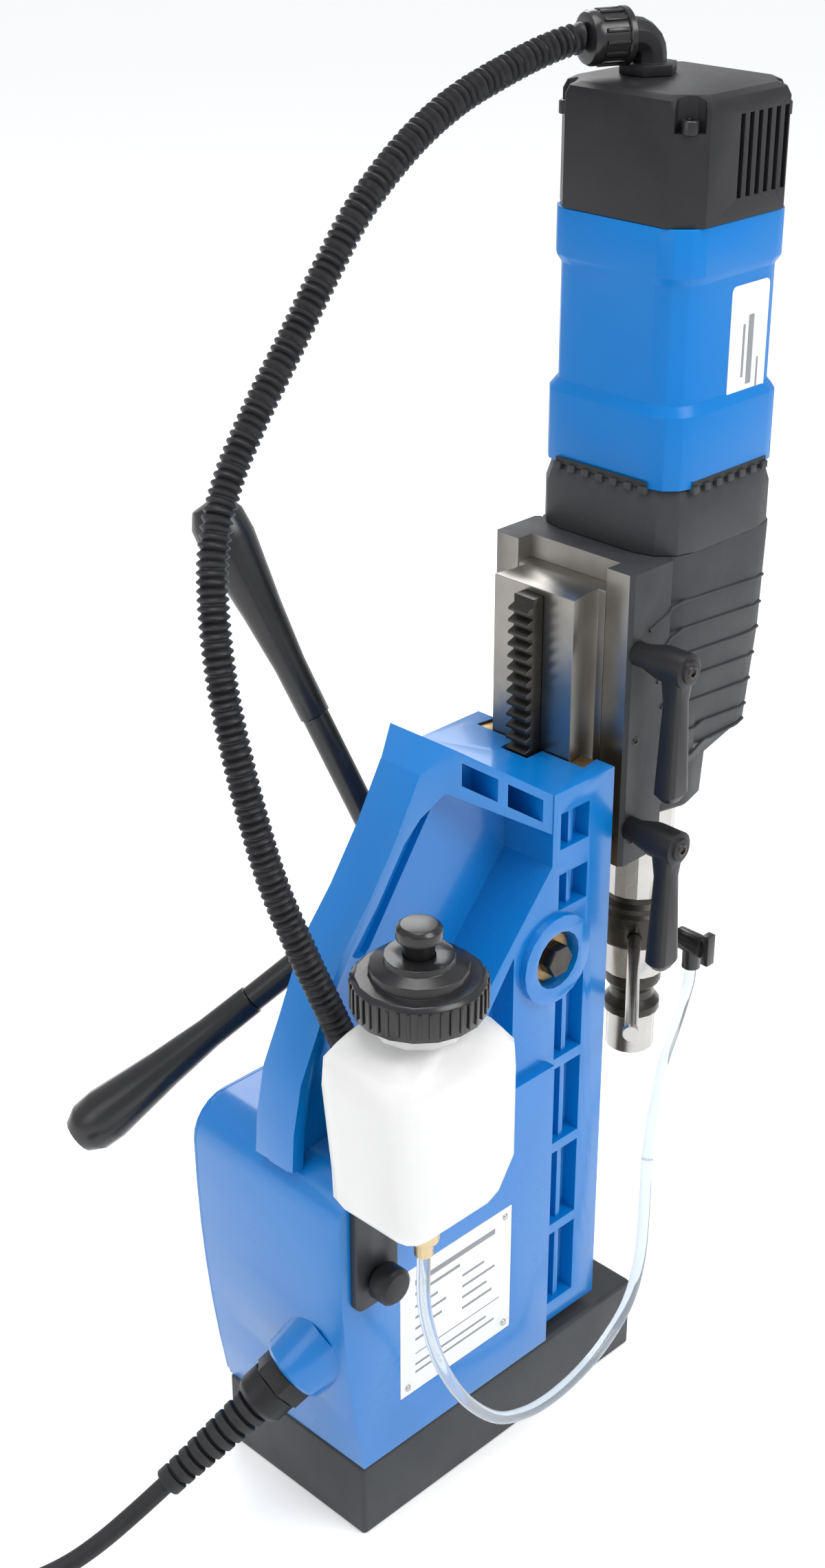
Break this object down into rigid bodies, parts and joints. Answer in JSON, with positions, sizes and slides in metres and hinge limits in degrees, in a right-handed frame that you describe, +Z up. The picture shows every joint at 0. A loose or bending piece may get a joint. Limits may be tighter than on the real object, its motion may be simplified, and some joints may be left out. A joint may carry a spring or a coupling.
{
  "type": "magnetic drill press",
  "caption": "Portable drill press on an electromagnet foot: cast stand with a rack-fed dovetail slide, upright drill motor, coolant bottle and feed handles.",
  "frame": {"origin": "centre of the magnet foot's lower face, which is the face that clamps to the work", "axes": "+Z up along the column and spindle, -Y towards the spindle side (front), +Y towards the mains lead (rear), +X towards the feed handles and switches, -X towards the coolant bottle"},
  "size_m": [0.2815, 0.6534, 0.7178],
  "materials": {
    "blue_paint": "glossy bright blue paint on cast metal",
    "dark_paint": "satin near-black paint",
    "cast_grey": "fine-textured dark grey casting",
    "black_plastic": "black moulded plastic, lightly textured",
    "black_rubber": "matt black rubber",
    "steel": "bright turned steel",
    "machined_steel": "ground steel with a thin oil film",
    "oiled_steel": "dark oiled steel",
    "bronze": "plain bronze bearing metal",
    "milky_plastic": "milky translucent bottle plastic",
    "white_enamel": "white printed plate with plain grey lines",
    "clear_hose": "clear soft hose",
    "copper": "varnished copper winding",
    "green_plastic": "green moulded plastic",
    "red_plastic": "red moulded plastic",
    "board_green": "green circuit board laminate"
  },
  "bodies": {
    "stand": {"magnet_base": "dark_paint", "magnet_coil": "copper", "stand_casting": "blue_paint", "control_cover": "blue_paint", "control_board": "board_green", "nameplate": "white_enamel", "gib_left": "bronze", "gib_right": "bronze", "pinion_bush_left": "steel", "pinion_bush_right": "steel", "conduit_gland": "black_plastic", "conduit_lower": "black_plastic", "bottle": "milky_plastic", "bottle_bracket": "black_plastic", "outlet_fitting": "bronze", "coolant_hose_lower": "clear_hose", "mains_gland": "black_plastic", "mains_gland_nut": "black_plastic", "strain_relief": "black_rubber", "mains_cord": "black_rubber", "mains_coil": "black_rubber", "coil_tie": "black_plastic", "mains_plug": "black_plastic"},
    "slide": {"slide_bar": "machined_steel", "rack": "oiled_steel"},
    "motor_unit": {"gear_housing": "cast_grey", "gearbox_head": "cast_grey", "motor_housing": "blue_paint", "top_cover": "black_plastic", "conduit_elbow": "black_plastic", "conduit_nut": "black_plastic", "conduit_upper": "black_plastic", "coolant_collar": "black_plastic", "stop_rod": "steel", "coolant_tap": "black_plastic", "coolant_hose_upper": "clear_hose"},
    "feed_wheel": {"pinion_shaft": "steel", "pinion_gear": "oiled_steel", "shaft_washer": "steel", "shaft_bolt": "oiled_steel", "feed_hub": "black_plastic", "feed_rod_1": "black_plastic", "feed_rod_2": "black_plastic", "feed_rod_3": "black_plastic", "feed_grip_1": "black_rubber", "feed_grip_2": "black_rubber", "feed_grip_3": "black_rubber"},
    "spindle_group": {"spindle": "steel", "arbor": "steel", "chuck_sleeve": "oiled_steel"},
    "layshaft_group": {"layshaft": "steel"},
    "armature_group": {"armature": "copper"},
    "upper_clamp": {"clamp_lever_upper": "black_plastic"},
    "lower_clamp": {"clamp_lever_lower": "black_plastic"},
    "magnet_rocker": {"magnet_switch": "red_plastic"},
    "start_push": {"start_button": "green_plastic"},
    "stop_push": {"stop_button": "red_plastic"},
    "cap": {"bottle_cap": "black_plastic"},
    "nozzle": {"bottle_nozzle": "black_plastic"},
    "knob": {"bracket_knob": "black_plastic"}
  },
  "joints": [
    {"name": "feed_slide", "type": "slide", "parent": "stand", "child": "slide", "axis": [0, 0, 1], "range_m": [-0.09, 0.02], "deforming": ["conduit_lower", "coolant_hose_lower", "conduit_upper", "coolant_hose_upper"]},
    {"name": "height_adjust", "type": "slide", "parent": "slide", "child": "motor_unit", "axis": [0, 0, 1], "range_m": [-0.05, 0.015], "deforming": ["conduit_upper", "coolant_hose_upper", "conduit_lower", "coolant_hose_lower"]},
    {"name": "feed_turn", "type": "hinge", "parent": "stand", "child": "feed_wheel", "pos_m": [0.061, -0.0345, 0.284], "axis": [1, 0, 0], "range_deg": [-53, 235]},
    {"name": "spindle_spin", "type": "hinge", "parent": "motor_unit", "child": "spindle_group", "pos_m": [0, -0.157, 0.2], "axis": [0, 0, 1], "continuous": true},
    {"name": "layshaft_spin", "type": "hinge", "parent": "motor_unit", "child": "layshaft_group", "pos_m": [0, -0.132, 0.43], "axis": [0, 0, 1], "continuous": true},
    {"name": "armature_spin", "type": "hinge", "parent": "motor_unit", "child": "armature_group", "pos_m": [0, -0.157, 0.55], "axis": [0, 0, 1], "continuous": true},
    {"name": "upper_clamp_turn", "type": "hinge", "parent": "motor_unit", "child": "upper_clamp", "pos_m": [-0.06, -0.0918, 0.431], "axis": [1, 0, 0], "range_deg": [-60, 60]},
    {"name": "lower_clamp_turn", "type": "hinge", "parent": "motor_unit", "child": "lower_clamp", "pos_m": [-0.06, -0.0918, 0.335], "axis": [1, 0, 0], "range_deg": [-60, 60]},
    {"name": "magnet_switch_rock", "type": "hinge", "parent": "stand", "child": "magnet_rocker", "pos_m": [0.054, 0.072, 0.165], "axis": [0, 1, 0], "range_deg": [-10, 10]},
    {"name": "start_press", "type": "slide", "parent": "stand", "child": "start_push", "axis": [-1, 0, 0], "range_m": [0, 0.003], "stiffness_N_per_m": 400},
    {"name": "stop_press", "type": "slide", "parent": "stand", "child": "stop_push", "axis": [-1, 0, 0], "range_m": [0, 0.003], "stiffness_N_per_m": 400},
    {"name": "cap_turn", "type": "hinge", "parent": "stand", "child": "cap", "pos_m": [-0.086, 0.1, 0.345], "axis": [0, 0, 1], "range_deg": [0, 540]},
    {"name": "nozzle_push", "type": "slide", "parent": "cap", "child": "nozzle", "axis": [0, 0, -1], "range_m": [0, 0.005]},
    {"name": "bracket_knob_turn", "type": "hinge", "parent": "stand", "child": "knob", "pos_m": [-0.06, 0.097, 0.165], "axis": [1, 0, 0], "range_deg": [-180, 180]}
  ],
  "couplings": [
    {"joint": "feed_turn", "follows": "feed_slide", "rad_per_m": -45.455},
    {"joint": "layshaft_spin", "follows": "spindle_spin", "ratio": -1.8571},
    {"joint": "armature_spin", "follows": "spindle_spin", "ratio": 5.5714}
  ]
}
